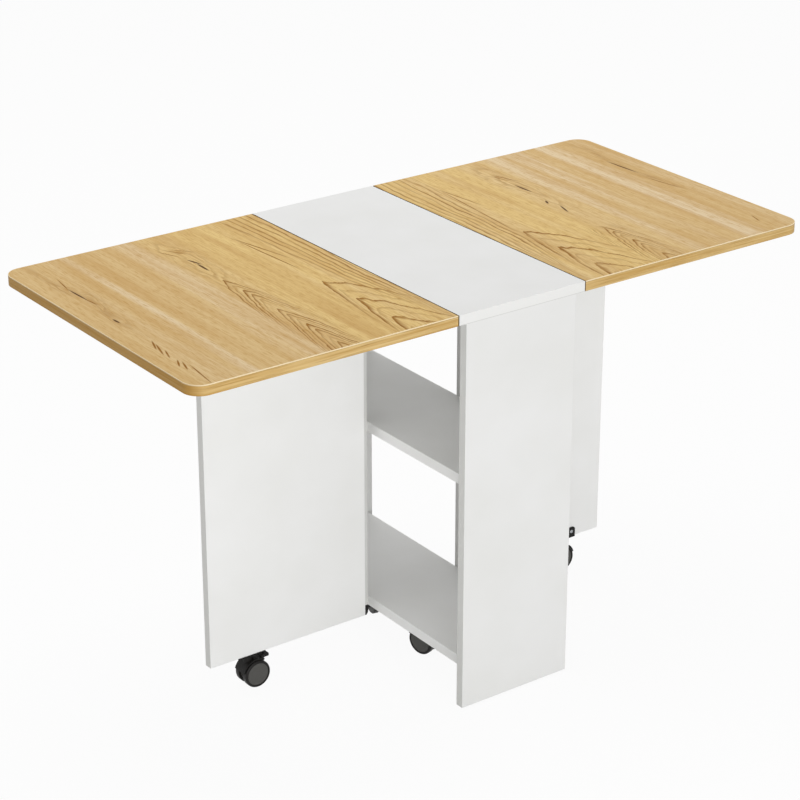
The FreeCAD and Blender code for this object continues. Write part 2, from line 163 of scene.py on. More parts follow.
# matt paper: it takes a soft shadow and shows no gloss
floor_material, floor_tree = new_material("matt_studio_floor")
lift = add(floor_tree, MATH, {0: looked_at(floor_tree), 1: FLOOR_LIFT}, operation="MULTIPLY")
paper = add(floor_tree, "ShaderNodeBsdfDiffuse", {"Color": floor_paper})
white = add(floor_tree, "ShaderNodeEmission", {"Color": PURE_WHITE, "Strength": 1.0})
lifted = add(floor_tree, "ShaderNodeMixShader", {0: lift, 1: paper, 2: white})
add(floor_tree, "ShaderNodeOutputMaterial", {"Surface": lifted})

half = FLOOR_SIDE / 2
floor_corners = [(-half, -half, 0), (half, -half, 0), (half, half, 0), (-half, half, 0)]
floor_mesh = bpy.data.meshes.new("studio_floor")
floor_mesh.from_pydata(floor_corners, [], [(0, 1, 2, 3)])
floor_mesh.materials.append(floor_material)
floor = bpy.data.objects.new("studio_floor", floor_mesh)
scene.collection.objects.link(floor)
print("floor", FLOOR_SIDE, "m square; sky strength", SKY_STRENGTH)

# %% [markdown]
# ## Lamps
#
# A broad lamp overhead lights the tops. A second lamp, wide and low, stands in front on the left, so that
# the boards under the leaves are as bright as the rest. Faces that look left get it at a slant and fall
# into a soft shade. Small lamps would do, but their shadows have hard edges.

# %% Lamps
# place, width and height in metres, and power in watts
lamps = {
    "overhead_softbox": (Vector((0.25, 1.0, 4.2)), 2.6, 2.6, 63.0),
    "front_softbox": (Vector((-2.0, -5.2, 0.75)), 3.6, 1.2, 129.0),
}
table_middle = Vector((0.0, 0.0, 0.45))
for name, (place, width, height, watts) in lamps.items():
    lamp_data = bpy.data.lights.new(name, "AREA")
    lamp_data.shape = "RECTANGLE"
    lamp_data.size = width
    lamp_data.size_y = height
    lamp_data.energy = watts
    lamp = bpy.data.objects.new(name, lamp_data)
    lamp.location = place
    lamp.rotation_euler = (table_middle - place).to_track_quat("-Z", "Y").to_euler()
    scene.collection.objects.link(lamp)
    print(name, watts, "W, at", tuple(round(c, 2) for c in place))

# %% [markdown]
# ## Wood-grain melamine: where the figure lies
#
# The leaves are chipboard faced with printed paper under clear melamine, pressed against a satin plate.
# The print shows flat-sawn elm. A flat-sawn board cuts a tree's growth rings at a shallow angle, which
# draws rows of nested arches, called cathedrals, with straight lines between the rows. A photograph of
# wood would give this at once, but a formula scales cleanly and needs no picture. First come the places,
# in millimetres away from the joint and along the grain. Both leaves carry the same rows, a little nearer
# to the joint on the right, and each leaf has its own knots and flecks.

# %% Wood print, places in millimetres
LEFT, RIGHT = -1, 1
# tip: distance of a row's tips from the joint; halves: its width to the right and to the left of a tip;
# gap: distance between lines; weight: how heavy they are; fade: length over which they fade; peaks: where
# the tips lie along the grain; right_start: where along the grain the row starts on the right leaf
arch_rows = [
    dict(tip=86.0, right_half=46.0, left_half=15.0, gap=48.0, weight=1.8, fade=66.0,
         peaks=(-48.0, -144.0, -240.0), right_start=300.0),
    dict(tip=212.0, right_half=17.0, left_half=20.0, gap=27.0, weight=1.0, fade=78.0,
         peaks=(54.0, 0.0, -108.0, -189.0, -270.0), right_start=-96.0),
]
# strokes: distance from the joint, place along the grain, half length, half width and slant
knots = {
    LEFT: [(209.0, 152.0, 20.0, 3.0, 0.26), (210.0, 123.0, 25.0, 3.0, -0.03),
           (440.0, 133.0, 37.0, 2.4, 0.03), (447.0, -2.0, 13.0, 2.8, 0.04)],
    RIGHT: [(210.0, 126.0, 29.0, 3.0, -0.03), (197.0, 43.0, 10.0, 3.2, 0.39),
            (199.0, -3.0, 22.0, 2.6, 0.30), (436.0, 115.0, 52.0, 2.4, -0.04)],
}
flecks = {
    LEFT: [(82.0, 140.0, 88.0, 2.0, 0.20), (90.0, 110.0, 118.0, 1.7, 0.06),
           (225.0, 207.0, 28.0, 1.7, 0.42), (211.0, 212.0, 26.0, 1.6, 0.55),
           (196.0, 209.0, 24.0, 1.6, 0.82), (437.0, 189.0, 36.0, 1.8, -0.16),
           (438.0, 95.0, 26.0, 1.7, 0.10), (450.0, -122.0, 22.0, 2.4, -0.36),
           (452.0, -142.0, 28.0, 2.4, -0.29), (452.0, -165.0, 19.0, 2.2, -0.32),
           (457.0, -205.0, 16.0, 2.4, -0.44), (454.0, -219.0, 20.0, 2.4, -0.30),
           (452.0, -263.0, 54.0, 1.9, -0.13)],
    RIGHT: [(69.0, 78.0, 150.0, 1.9, 0.10), (88.0, 153.0, 75.0, 1.7, -0.10),
            (220.0, 189.0, 38.0, 1.7, -0.35), (211.0, 194.0, 30.0, 1.6, -0.30),
            (437.0, 5.0, 56.0, 1.6, -0.16), (438.0, -238.0, 20.0, 1.8, 0.30)],
}
# eyes, round which the grain bends: distance from the joint, along the grain, half width, half length
eyes = [
    (212.0, 140.0, 24.0, 150.0),
    (441.0, 118.0, 12.0, 170.0),
]
print(len(arch_rows), "rows of arches on each leaf, and", sum(map(len, knots.values())), "knots in all")

# %% [markdown]
# ## Wood-grain melamine: coordinates and streaks
#
# A shader knows a point only by its place on the table, so a few nodes turn that into the two distances
# that the places above use, and into a sign that tells the leaves apart. Noise on these distances, drawn
# out along the grain, gives every kind of streak. Blender's wave texture makes stripes too, but all of
# one width.

# %% Wood print, coordinates and streaks
JOINT_TO_MIDDLE = 131.0
LEAF_SEED = 3.7
STREAK_ROUGHNESS = 0.55


def grain_place(tree):
    """Millimetres away from the joint, millimetres along the grain, and the sign of the leaf."""
    split = add(tree, "ShaderNodeSeparateXYZ", {0: add(tree, "ShaderNodeTexCoord").outputs["Object"]})
    out = add(tree, MATH, {0: split.outputs["X"]}, operation="ABSOLUTE")
    out = add(tree, MATH, {0: out, 1: 1 / MM, 2: -JOINT_TO_MIDDLE}, operation="MULTIPLY_ADD")
    along = add(tree, MATH, {0: split.outputs["Y"], 1: 1 / MM}, operation="MULTIPLY")
    leaf = add(tree, MATH, {0: split.outputs["X"]}, operation="SIGN")
    return out, along, leaf


def streaks(tree, grain, width, length, detail, seed):
    """Noise drawn out along the grain: streaks about as wide and as long as given, in millimetres."""
    out, along, leaf = grain
    across = add(tree, MATH, {0: out, 1: 1 / width}, operation="MULTIPLY")
    down = add(tree, MATH, {0: along, 1: 1 / length}, operation="MULTIPLY")
    depth = add(tree, MATH, {0: leaf, 1: LEAF_SEED, 2: seed}, operation="MULTIPLY_ADD")
    spot = add(tree, "ShaderNodeCombineXYZ", {0: across, 1: down, 2: depth})
    return add(tree, "ShaderNodeTexNoise", {
        "Vector": spot, "Scale": 1.0, "Detail": detail, "Roughness": STREAK_ROUGHNESS})


print("the print starts", JOINT_TO_MIDDLE, "mm from the table's middle")

# %% [markdown]
# ## Wood-grain melamine: a line for each growth ring
#
# Arches, straight lines and eyes all count growth rings, each in its own way, and a line lies wherever
# the count is whole. Late wood has a sharp side and a soft one, so a line starts at once and fades over
# some millimetres. A sine would be simpler, but both its sides are soft.

# %% Wood print, one line for each ring
# millimetres behind the sharp side of a line
LINE_START = 0.5
LINE_CORE = 1.6
LINE_FADE = 5.0


def ring_line(tree, count, spacing, weight=1.0):
    """Line at every whole ring count; the spacing is the distance between lines in millimetres."""
    ring = add(tree, MATH, {0: count}, operation="FRACT")
    past = add(tree, MATH, {0: ring, 1: spacing}, operation="MULTIPLY")
    start = add(tree, RANGE, {"Value": past, "From Max": LINE_START})
    fade = add(tree, RANGE, {
        "Value": past, "From Min": weight * LINE_CORE, "From Max": weight * LINE_FADE, "To Min": 1.0,
        "To Max": 0.0})
    return add(tree, MATH, {0: start, 1: fade}, operation="MULTIPLY")


print("a line has faded", LINE_FADE, "mm behind its sharp side")

# %% [markdown]
# ## Wood-grain melamine: rows of arches
#
# In a row of arches every line has the same shape, a lopsided V, and only its place along the grain
# differs. So one number, the distance in front of the V through a point, tells which line the point lies
# on. A slow sway and small kinks keep the lines from looking ruled. A colour ramp over that number makes
# the lines start at each tip and lets them fade before the next. Curves drawn one by one would look as
# good, but there would be dozens of them.

# %% Wood print, distance in front of an arch
RIGHT_SHIFT = 20.0
ARCH_LENGTH = 66.0
ARCH_ROUNDING = 1.4
ARCH_SWAY = 0.28
KINK_WIDTH = 13.0
KINK_LENGTH = 42.0
KINK_DETAIL = 2.0
KINK_HEIGHT = 9.0
# noise seldom leaves this range
NOISE_LOW, NOISE_HIGH = 0.25, 0.75


def arch_front(tree, grain, sway, row):
    """Place beside a row's tips, share of the half width, and distance in front of the V."""
    out, along, leaf = grain
    shift = add(tree, MATH, {
        0: leaf, 1: RIGHT_SHIFT / 2, 2: RIGHT_SHIFT / 2 - row["tip"]}, operation="MULTIPLY_ADD")
    side = add(tree, MATH, {0: out, 1: shift}, operation="ADD")
    side = add(tree, MATH, {0: sway, 1: ARCH_SWAY, 2: side}, operation="MULTIPLY_ADD")
    side = add(tree, MATH, {0: side, 1: leaf}, operation="MULTIPLY")
    right = add(tree, MATH, {0: side, 1: 1 / row["right_half"]}, operation="MULTIPLY")
    left = add(tree, MATH, {0: side, 1: -1 / row["left_half"]}, operation="MULTIPLY")
    wide = add(tree, MATH, {0: right, 1: left}, operation="MAXIMUM")
    bent = add(tree, MATH, {0: wide, 1: ARCH_ROUNDING}, operation="POWER")
    front = add(tree, MATH, {0: bent, 1: -ARCH_LENGTH}, operation="MULTIPLY")
    front = add(tree, MATH, {0: front, 1: along}, operation="SUBTRACT")
    front = add(tree, MATH, {0: sway, 1: ARCH_SWAY, 2: front}, operation="MULTIPLY_ADD")
    kinks = streaks(tree, grain, KINK_WIDTH, KINK_LENGTH, KINK_DETAIL, row["tip"])
    kink = add(tree, RANGE, {
        "Value": kinks, "From Min": NOISE_LOW, "From Max": NOISE_HIGH, "To Min": -KINK_HEIGHT,
        "To Max": KINK_HEIGHT})
    front = add(tree, MATH, {0: front, 1: kink}, operation="ADD")
    return side, wide, front


print("arches are", ARCH_LENGTH, "mm long, with kinks of up to", KINK_HEIGHT, "mm")

# %% Wood print, lines of the arches
GRAIN_REACH = 380.0
TIP_RISE = 2.0
TIP_CLEAR = 4.0
HALF_FADED = 0.75
FADED = 0.1
LAST_STOP = 0.999
# a row ends between these shares of its half width
ROW_EDGE, ROW_END = 1.3, 2.3
ROW_START = 40.0


def arch_strength(tree, front, peaks, fade):
    """How strong a row's lines are: full at each tip, fading before the next one."""
    place = add(tree, RANGE, {"Value": front, "From Min": -GRAIN_REACH, "From Max": GRAIN_REACH})
    strong = add(tree, "ShaderNodeValToRGB", {0: place})
    stops = []
    for peak, after in zip(peaks, peaks[1:] + (-GRAIN_REACH,)):
        end = min(-peak + fade, -after - TIP_CLEAR)
        middle = (end - peak) / 2
        stops += [(-peak - TIP_RISE, 0.0), (-peak, 1.0), (middle, HALF_FADED), (end, FADED)]
    ramp = strong.color_ramp
    for end_stop in ramp.elements:
        end_stop.color = (0.0, 0.0, 0.0, 1.0)
    for at, value in stops:
        stop = ramp.elements.new(min(LAST_STOP, (at + GRAIN_REACH) / (2 * GRAIN_REACH)))
        stop.color = (value, value, value, 1.0)
    return strong


def arch_lines(tree, grain, sway, row):
    """Lines of one row of arches, from 0 to 1."""
    along, leaf = grain[1:]
    side, wide, front = arch_front(tree, grain, sway, row)
    count = add(tree, MATH, {0: front, 1: 1 / row["gap"]}, operation="MULTIPLY")
    # lines lie closer together on the steeper leg of the V
    on_left = add(tree, MATH, {0: side, 1: 0.0}, operation="LESS_THAN")
    right_gap = row["gap"] / math.hypot(1.0, ARCH_LENGTH / row["right_half"])
    left_gap = row["gap"] / math.hypot(1.0, ARCH_LENGTH / row["left_half"])
    spacing = add(tree, RANGE, {"Value": on_left, "To Min": right_gap, "To Max": left_gap})
    line = ring_line(tree, count, spacing, row["weight"])
    strong = arch_strength(tree, front, row["peaks"], row["fade"])
    near = add(tree, RANGE, {
        "Value": wide, "From Min": ROW_EDGE, "From Max": ROW_END, "To Min": 1.0, "To Max": 0.0})
    started = add(tree, RANGE, {
        "Value": along, "From Min": row["right_start"] - ROW_START, "From Max": row["right_start"],
        "To Min": 1.0, "To Max": 0.0}, interpolation_type="SMOOTHSTEP")
    left_leaf = add(tree, MATH, {0: leaf, 1: 0.0}, operation="LESS_THAN")
    shown = add(tree, MATH, {0: started, 1: left_leaf}, operation="MAXIMUM")
    for strength in (strong, near, shown):
        line = add(tree, MATH, {0: line, 1: strength}, operation="MULTIPLY")
    return line


print("tips of arches on each leaf:", sum(len(row["peaks"]) for row in arch_rows))

# %% [markdown]
# ## Wood-grain melamine: straight lines
#
# Beside the joint a bundle of straight lines runs the length of the leaf and draws together towards the
# front. The ring count is the share of the bundle's width, so the lines narrow with it. A random number
# for each line makes some bold and some faint, and where they lie close they are all faint.

# %% Wood print, straight lines
JOINT_LINES = 5.0
FRONT_END, BACK_END = -300.0, 300.0
BUNDLE_SPREAD = -20.0
BUNDLE_NARROW, BUNDLE_WIDE, BUNDLE_BACK = 12.0, 50.0, 16.0
BUNDLE_SWAY = 0.4
BUNDLE_EDGE, BUNDLE_END = 1.05, 1.3
NEXT_LEAF = 9.0
FAINTEST_LINE = 0.45
CLOSE_LINES, FREE_LINES = 3.0, 9.0
CLOSE_STRENGTH = 0.25


def straight_lines(tree, grain, sway):
    """Long lines beside the joint, some bold and some faint, which draw together towards the front."""
    out, along, leaf = grain
    front_width = add(tree, RANGE, {
        "Value": along, "From Min": FRONT_END, "From Max": BUNDLE_SPREAD, "To Min": BUNDLE_NARROW,
        "To Max": BUNDLE_WIDE}, interpolation_type="SMOOTHSTEP")
    back_width = add(tree, RANGE, {"Value": along, "From Max": BACK_END, "To Max": BUNDLE_BACK})
    width = add(tree, MATH, {0: front_width, 1: back_width}, operation="ADD")
    side = add(tree, MATH, {0: sway, 1: BUNDLE_SWAY, 2: out}, operation="MULTIPLY_ADD")
    share = add(tree, MATH, {0: side, 1: width}, operation="DIVIDE")
    count = add(tree, MATH, {0: share, 1: JOINT_LINES}, operation="MULTIPLY")
    spacing = add(tree, MATH, {0: width, 1: 1 / JOINT_LINES}, operation="MULTIPLY")
    line = ring_line(tree, count, spacing)
    number = add(tree, MATH, {0: count}, operation="FLOOR")
    number = add(tree, MATH, {0: leaf, 1: NEXT_LEAF, 2: number}, operation="MULTIPLY_ADD")
    chance = add(tree, "ShaderNodeTexWhiteNoise", {"W": number}, noise_dimensions="1D")
    bold = add(tree, RANGE, {"Value": chance, "To Min": FAINTEST_LINE, "To Max": 1.0})
    room = add(tree, RANGE, {
        "Value": spacing, "From Min": CLOSE_LINES, "From Max": FREE_LINES, "To Min": CLOSE_STRENGTH,
        "To Max": 1.0})
    near = add(tree, RANGE, {
        "Value": share, "From Min": BUNDLE_EDGE, "From Max": BUNDLE_END, "To Min": 1.0, "To Max": 0.0})
    for strength in (bold, room, near):
        line = add(tree, MATH, {0: line, 1: strength}, operation="MULTIPLY")
    return line


print(int(JOINT_LINES), "straight lines beside each joint")

# %% [markdown]
# ## Wood-grain melamine: eyes, knots and flecks
#
# Faint closed lines flow round the knots: rings counted in a stretched circle. Single strokes with pointed
# ends give the slits of the knots, and the flecks far from the joint. Each stroke is a stretched circle
# too, leaned over, and the strongest of all strokes at a point is what shows.

# %% Wood print, eyes and strokes
EYE_RINGS = 2.6
EYE_SWAY = 1.3
EYE_CORE, EYE_REACH = 0.4, 1.5
EYE_STRENGTH = 0.38
STROKE_CORE = 0.45


def stretched_circle(tree, side, half_width, along, along_at, half_length):
    """Distance from the middle of a stretched circle, as a share of its radius."""
    side = add(tree, MATH, {0: side, 1: 1 / half_width}, operation="MULTIPLY")
    down = add(tree, MATH, {
        0: along, 1: 1 / half_length, 2: -along_at / half_length}, operation="MULTIPLY_ADD")
    spot = add(tree, "ShaderNodeCombineXYZ", {0: side, 1: down})
    return add(tree, "ShaderNodeVectorMath", {0: spot}, operation="LENGTH").outputs["Value"]


def eye_lines(tree, grain, sway, eye):
    """Faint closed lines round one knot, strongest close to it."""
    out, along = grain[:2]
    middle, along_at, half_width, half_length = eye
    side = add(tree, MATH, {0: sway, 1: EYE_SWAY, 2: -middle}, operation="MULTIPLY_ADD")
    side = add(tree, MATH, {0: out, 1: side}, operation="ADD")
    away = stretched_circle(tree, side, half_width, along, along_at, half_length)
    count = add(tree, MATH, {0: away, 1: EYE_RINGS}, operation="MULTIPLY")
    line = ring_line(tree, count, half_width / EYE_RINGS)
    near = add(tree, RANGE, {
        "Value": away, "From Min": EYE_CORE, "From Max": EYE_REACH, "To Min": EYE_STRENGTH,
        "To Max": 0.0}, interpolation_type="SMOOTHSTEP")
    return add(tree, MATH, {0: line, 1: near}, operation="MULTIPLY")


def grain_stroke(tree, grain, stroke):
    """One short stroke with pointed ends, from 0 to 1."""
    out, along = grain[:2]
    middle, along_at, half_length, half_width, slant = stroke
    lean = add(tree, MATH, {0: along, 1: -slant, 2: slant * along_at - middle}, operation="MULTIPLY_ADD")
    side = add(tree, MATH, {0: out, 1: lean}, operation="ADD")
    away = stretched_circle(tree, side, half_width, along, along_at, half_length)
    return add(tree, RANGE, {
        "Value": away, "From Min": STROKE_CORE, "From Max": 1.0, "To Min": 1.0, "To Max": 0.0},
        interpolation_type="SMOOTHSTEP")


def strongest(tree, layers):
    """The strongest of several masks at each point."""
    top = layers[0]
    for layer in layers[1:]:
        top = add(tree, MATH, {0: top, 1: layer}, operation="MAXIMUM")
    return top


def leaf_strokes(tree, grain, strokes):
    """All strokes of both leaves; each leaf shows its own."""
    masks = []
    for hand, hand_strokes in strokes.items():
        drawn = strongest(tree, [grain_stroke(tree, grain, stroke) for stroke in hand_strokes])
        own = add(tree, MATH, {0: grain[2], 1: float(hand), 2: 0.5}, operation="COMPARE")
        masks.append(add(tree, MATH, {0: drawn, 1: own}, operation="MULTIPLY"))
    return strongest(tree, masks)


print(len(eyes), "eyes on each leaf, and", sum(map(len, flecks.values())), "flecks in all")

# %% [markdown]
# ## Wood-grain melamine: the ground
#
# Under the lines lies a honey-coloured ground that turns greyer away from the joint. Broad pale bands of
# painted sheen, soft reflections put into the colour, cross the middle of a leaf, and tan grain in two
# sizes lies over them. One noise in one colour would look like paint, so each size of streak gets its own.

# %% Wood print, the ground
elm_honey = linear("#E6C785")
elm_outer = linear("#DCBD86")
# painted sheen: the pale colour that stands in for soft reflections on the print
elm_painted_sheen = linear("#E9D3AD")
elm_tan = linear("#C69C5B")
OUTER_START, OUTER_END = 140.0, 300.0
# streaks: width and length in millimetres, detail of the noise, and seed
SHEEN_BAND_STREAKS = (46.0, 1300.0, 2.0, 8.4)
SHEEN_LOW, SHEEN_HIGH = 0.44, 0.59
# zones of the painted sheen bands: start and end in millimetres from the joint, strength before and after
painted_sheen_zones = [(215.0, 290.0, 0.25, 1.0), (380.0, 430.0, 1.0, 0.35)]
# tan grain, coarse and fine: streaks, noise where it begins and where it is full, and how much it tints
tan_grain = [
    ((24.0, 500.0, 4.0, 2.9), 0.44, 0.70, 0.60),
    ((3.2, 180.0, 3.0, 4.1), 0.44, 0.72, 0.52),
]


def elm_ground(tree, grain):
    """Honey ground with painted sheen in pale bands over the middle of a leaf, and with tan grain."""
    # painted sheen: broad pale bands where soft reflections lie on the print
    bands = streaks(tree, grain, *SHEEN_BAND_STREAKS)
    pale = add(tree, RANGE, {"Value": bands, "From Min": SHEEN_LOW, "From Max": SHEEN_HIGH})
    for start, end, before, after in painted_sheen_zones:
        zone = add(tree, RANGE, {
            "Value": grain[0], "From Min": start, "From Max": end, "To Min": before, "To Max": after},
            interpolation_type="SMOOTHSTEP")
        pale = add(tree, MATH, {0: pale, 1: zone}, operation="MULTIPLY")
    outward = add(tree, RANGE, {
        "Value": grain[0], "From Min": OUTER_START, "From Max": OUTER_END},
        interpolation_type="SMOOTHSTEP")
    ground = add(tree, MIX, {"Factor": outward, "A": elm_honey, "B": elm_outer}, data_type="RGBA")
    ground = add(tree, MIX, {"Factor": pale, "A": ground, "B": elm_painted_sheen}, data_type="RGBA")
    for layer, low, high, most in tan_grain:
        tan = add(tree, RANGE, {
            "Value": streaks(tree, grain, *layer), "From Min": low, "From Max": high, "To Max": most})
        ground = add(tree, MIX, {"Factor": tan, "A": ground, "B": elm_tan}, data_type="RGBA")
    return ground


print("pale bands", SHEEN_BAND_STREAKS[0], "mm wide; tan grain", [layer[0][0] for layer in tan_grain], "mm wide")

# %% [markdown]
# ## Wood-grain melamine: the finished print
#
# The lines go over the ground, then the pores as short dashes, then the knots. The plate that pressed the
# melamine left a satin surface, a little rougher in the printed pores. Its fine texture breaks up the
# mirror part of the light, so the specular level is set low and the print keeps its colour at a low
# angle. The underside of a leaf has a plain white backing, which keeps the board from warping, and its
# side at the joint is raw chipboard, which draws the joint as a fine dark line.

# %% Wood print, the finished material
elm_line = linear("#8E5B00")
elm_pore = linear("#B98A3E")
elm_knot = linear("#573300")
backing_white = linear("#E2E1DE")
raw_chipboard = linear("#5E4A30")
SWAY_STREAKS = (40.0, 150.0, 3.0, 1.3)
SWAY = 14.0
PATCH_STREAKS = (26.0, 90.0, 1.0, 6.6)
PATCH_LOW, PATCH_HIGH = 0.30, 0.52
PATCH_WEAKEST = 0.55
# Pores are a tenth of a millimetre wide; they are drawn about 2 mm wide so that they show
PORE_STREAKS = (1.8, 22.0, 2.0, 5.5)
PORE_LOW, PORE_HIGH = 0.50, 0.72
PORE_TINT = 0.60
PORE_RELIEF = 0.05
FACING = 0.5
PRINT_ROUGH = (0.42, 0.56)
MELAMINE_IOR = 1.5
SATIN_SPECULAR = 0.07


def elm_lines(tree, grain):
    """All lines and flecks of the print, stronger and weaker in patches."""
    warp = streaks(tree, grain, *SWAY_STREAKS)
    sway = add(tree, RANGE, {
        "Value": warp, "From Min": NOISE_LOW, "From Max": NOISE_HIGH, "To Min": -SWAY, "To Max": SWAY})
    layers = [arch_lines(tree, grain, sway, row) for row in arch_rows]
    layers += [eye_lines(tree, grain, sway, eye) for eye in eyes]
    layers.append(straight_lines(tree, grain, sway))
    layers.append(leaf_strokes(tree, grain, flecks))
    patch = add(tree, RANGE, {
        "Value": streaks(tree, grain, *PATCH_STREAKS), "From Min": PATCH_LOW, "From Max": PATCH_HIGH,
        "To Min": PATCH_WEAKEST, "To Max": 1.0})
    return add(tree, MATH, {0: strongest(tree, layers), 1: patch}, operation="MULTIPLY")


def upright_side(tree, facing):
    """1 on the faces that look along X, such as the sides where boards meet; elsewhere 0."""
    across = add(tree, MATH, {0: facing.outputs["X"]}, operation="ABSOLUTE")
    return add(tree, MATH, {0: across, 1: FACING}, operation="GREATER_THAN")


def wood_grain_melamine():
    """Printed flat-sawn elm under satin melamine: warm, figured, and without a hard shine."""
    material, tree = new_material("wood_grain_melamine")
    grain = grain_place(tree)
    pores = streaks(tree, grain, *PORE_STREAKS)
    pore = add(tree, RANGE, {
        "Value": pores, "From Min": PORE_LOW, "From Max": PORE_HIGH, "To Max": PORE_TINT})
    slit = leaf_strokes(tree, grain, knots)
    facing = add(tree, "ShaderNodeSeparateXYZ", {0: add(tree, "ShaderNodeTexCoord").outputs["Normal"]})
    under = add(tree, MATH, {0: facing.outputs["Z"], 1: -FACING}, operation="LESS_THAN")
    joint = upright_side(tree, facing)
    wood = elm_ground(tree, grain)
    for share, colour in ((elm_lines(tree, grain), elm_line), (pore, elm_pore), (slit, elm_knot),
                          (under, backing_white), (joint, raw_chipboard)):
        wood = add(tree, MIX, {"Factor": share, "A": wood, "B": colour}, data_type="RGBA")
    gloss = add(tree, RANGE, {"Value": pores, "To Min": PRINT_ROUGH[0], "To Max": PRINT_ROUGH[1]})
    relief = add(tree, "ShaderNodeBump", {
        "Strength": 0.12, "Distance": PORE_RELIEF * MM, "Height": pores})
    shader = add(tree, "ShaderNodeBsdfPrincipled", {
        "Base Color": wood, "Roughness": gloss, "Normal": relief, "IOR": MELAMINE_IOR,
        "Specular IOR Level": SATIN_SPECULAR})
    add(tree, "ShaderNodeOutputMaterial", {"Surface": shader})
    return material


elm_print = wood_grain_melamine()
print(elm_print.name, "has", len(elm_print.node_tree.nodes), "nodes")

# %% [markdown]
# ## Wood-grain edge band
#
# The three free edges of a leaf carry a glued band of printed plastic. Its grain runs along the edge, so
# the streaks follow the length and are stacked up the thickness. Where the rounded arris at the top
# catches the light, a thin pale line is painted on as a painted highlight, with a darker glue line below
# it. Both are drawn a little wider than the real ones so that they show. The band on the short end is
# painted darker and browner than the one along the long sides: painted shade, as that end looks away from
# the lamps.

# %% Edge band material
band_pale = linear("#DDBF86")
band_tan = linear("#C69F5C")
band_line = linear("#A1752F")
# painted shade: the darker, browner colour of the short end, which looks away from the lamps
band_end_painted_shade = linear("#A5782F")
band_glue = linear("#8F6B2E")
# painted highlight: the pale line where the rounded top arris catches the light
band_painted_highlight = linear("#FBE9C4")
BAND_TOP = 725.0
# painted highlight along the top arris: its width, its soft edges, and its strength on the long sides and
# on the short end
HIGHLIGHT_LINE = 1.5
HIGHLIGHT_SOFT_BELOW, HIGHLIGHT_SOFT_ABOVE = 0.4, 0.2
HIGHLIGHT_ON_SIDES, HIGHLIGHT_ON_END = 0.85, 0.35
GLUE_LINE = 1.6
GLUE_TINT = 0.55
BROAD_STREAKS = (5.0, 260.0, 2.0, 0.7)
BROAD_LOW, BROAD_HIGH = 0.35, 0.70
FINE_STREAKS = (1.6, 70.0, 2.0, 3.3)
FINE_LOW, FINE_HIGH, FINE_TINT = 0.50, 0.74, 0.65
# how far the face looks along X where the painted shade of the short end begins and where it is full, and
# its tint
END_SHADE_BEGINS, END_SHADE_FULL, END_SHADE_TINT = 0.35, 0.90, 0.66
BAND_ROUGH = (0.36, 0.48)
BAND_IOR = 1.49


def wood_grain_edge_band():
    """Printed plastic band with lengthwise grain: satin, with a painted highlight along its top arris and
    painted shade on the short end.
    """
    material, tree = new_material("wood_grain_edge_band")
    spots = add(tree, "ShaderNodeTexCoord")
    split = add(tree, "ShaderNodeSeparateXYZ", {0: spots.outputs["Object"]})
    along = add(tree, MATH, {0: split.outputs["X"], 1: split.outputs["Y"]}, operation="ADD")
    along = add(tree, MATH, {0: along, 1: 1 / MM}, operation="MULTIPLY")
    up = add(tree, MATH, {0: split.outputs["Z"], 1: 1 / MM}, operation="MULTIPLY")
    leaf = add(tree, MATH, {0: split.outputs["X"]}, operation="SIGN")
    broad = streaks(tree, (up, along, leaf), *BROAD_STREAKS)
    fine = streaks(tree, (up, along, leaf), *FINE_STREAKS)
    tone = add(tree, RANGE, {"Value": broad, "From Min": BROAD_LOW, "From Max": BROAD_HIGH})
    line = add(tree, RANGE, {
        "Value": fine, "From Min": FINE_LOW, "From Max": FINE_HIGH, "To Max": FINE_TINT})
    facing = add(tree, "ShaderNodeSeparateXYZ", {0: spots.outputs["Normal"]})
    # painted shade on the short end, on the faces that look along X
    end = add(tree, MATH, {0: facing.outputs["X"]}, operation="ABSOLUTE")
    end = add(tree, RANGE, {
        "Value": end, "From Min": END_SHADE_BEGINS, "From Max": END_SHADE_FULL, "To Max": END_SHADE_TINT})
    highlight_foot = BAND_TOP - HIGHLIGHT_LINE
    glue = add(tree, RANGE, {
        "Value": up, "From Min": highlight_foot - GLUE_LINE, "From Max": highlight_foot, "To Max": GLUE_TINT})
    bright = add(tree, RANGE, {"Value": end, "To Min": HIGHLIGHT_ON_SIDES, "To Max": HIGHLIGHT_ON_END})
    # painted highlight: a pale line just under the top of the band, weaker on the short end
    arris = add(tree, RANGE, {
        "Value": up, "From Min": highlight_foot - HIGHLIGHT_SOFT_BELOW, "From Max": highlight_foot + HIGHLIGHT_SOFT_ABOVE,
        "To Max": bright})
    band = add(tree, MIX, {"Factor": tone, "A": band_pale, "B": band_tan}, data_type="RGBA")
    for share, colour in ((line, band_line), (end, band_end_painted_shade), (glue, band_glue), (arris, band_painted_highlight)):
        band = add(tree, MIX, {"Factor": share, "A": band, "B": colour}, data_type="RGBA")
    gloss = add(tree, RANGE, {"Value": fine, "To Min": BAND_ROUGH[0], "To Max": BAND_ROUGH[1]})
    shader = add(tree, "ShaderNodeBsdfPrincipled", {
        "Base Color": band, "Roughness": gloss, "IOR": BAND_IOR, "Specular IOR Level": SATIN_SPECULAR})
    add(tree, "ShaderNodeOutputMaterial", {"Surface": shader})
    return material


elm_band = wood_grain_edge_band()
print(elm_band.name, "has a pale arris line of", HIGHLIGHT_LINE, "mm")

